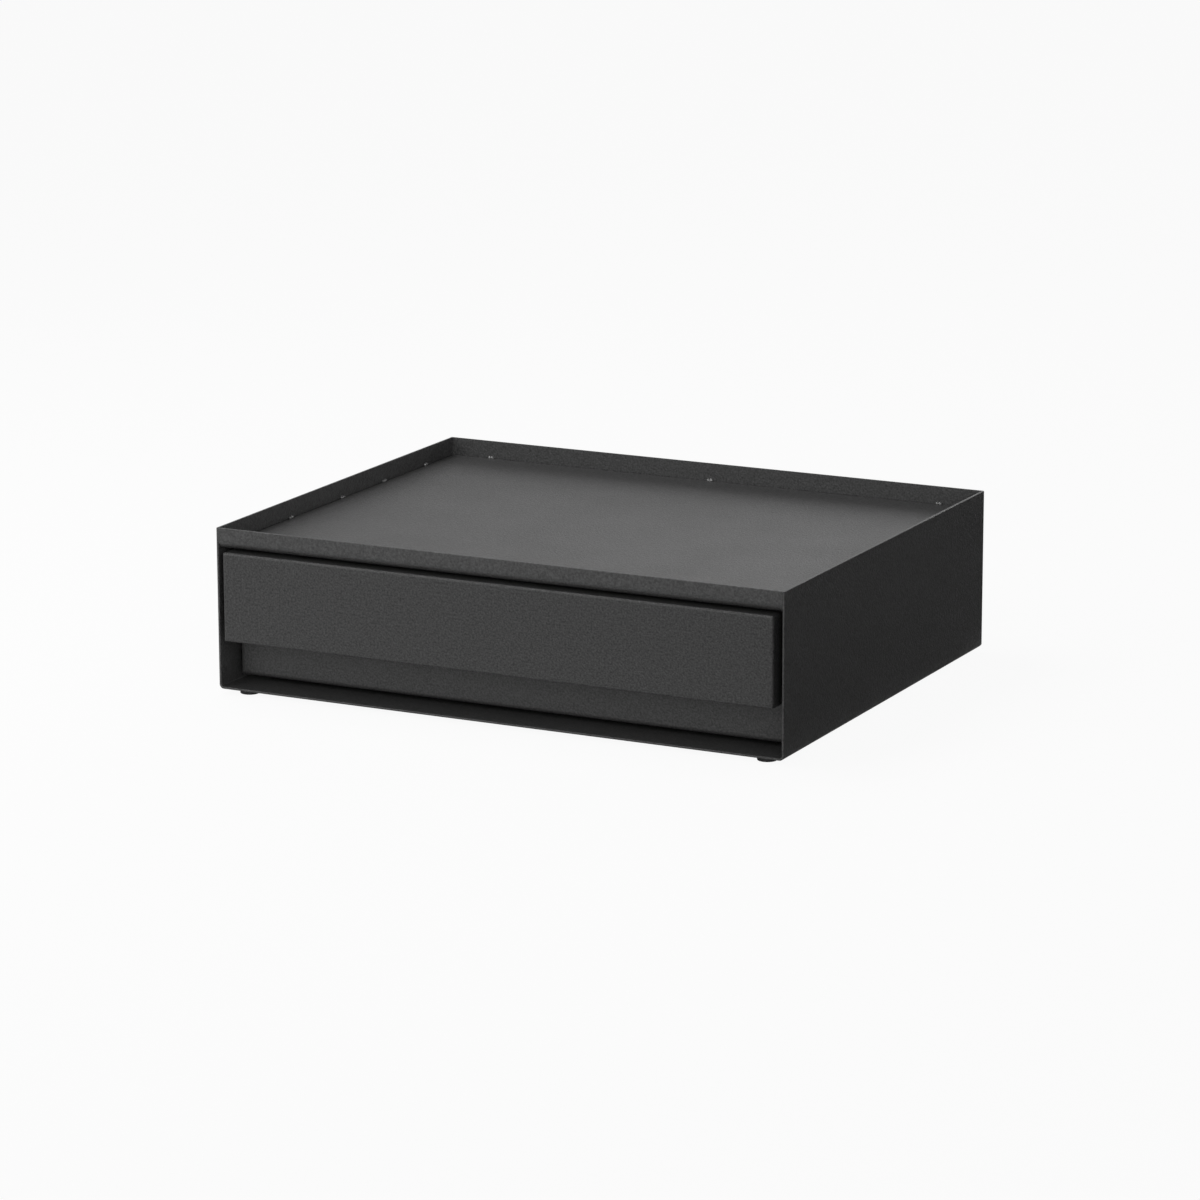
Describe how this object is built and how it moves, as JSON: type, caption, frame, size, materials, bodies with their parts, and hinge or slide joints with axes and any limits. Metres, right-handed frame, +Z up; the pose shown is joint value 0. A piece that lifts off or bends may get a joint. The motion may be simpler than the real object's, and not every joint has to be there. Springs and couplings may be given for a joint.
{
  "type": "desk tray with drawer",
  "caption": "Low rectangular desk tray in folded dark steel sheet, with a recessed top and a shallow full-width drawer below, pulled by a slot under its front.",
  "frame": {"origin": "middle of the object's footprint, drawer front included, on the plane that the feet stand on", "axes": "+Z up; -Y is the drawer's front and the way it opens; +X runs to the right when facing the front"},
  "size_m": [0.34, 0.2726, 0.0935],
  "materials": {
    "powder_coat": "fine-textured matte powder coat, near black",
    "foot_rubber": "matte black rubber",
    "nylon": "satin black nylon",
    "zinc_steel": "black zinc plated steel"
  },
  "bodies": {
    "case": {"case_shell": "powder_coat", "tray_plate": "powder_coat", "tray_weld_beads": "powder_coat", "foot_front_left": "foot_rubber", "foot_front_right": "foot_rubber", "foot_rear_left": "foot_rubber", "foot_rear_right": "foot_rubber", "stop_rail": "powder_coat", "runner_left": "nylon", "runner_right": "nylon", "runner_rivets": "nylon", "bumper_left": "foot_rubber", "bumper_right": "foot_rubber"},
    "drawer": {"drawer_box": "powder_coat", "drawer_front": "powder_coat", "front_screws": "zinc_steel", "front_nuts": "zinc_steel", "stop_clip_left": "nylon", "stop_clip_right": "nylon"}
  },
  "joints": [
    {"name": "drawer_slide", "type": "slide", "parent": "case", "child": "drawer", "axis": [0, -1, 0], "range_m": [0, 0.19]}
  ]
}
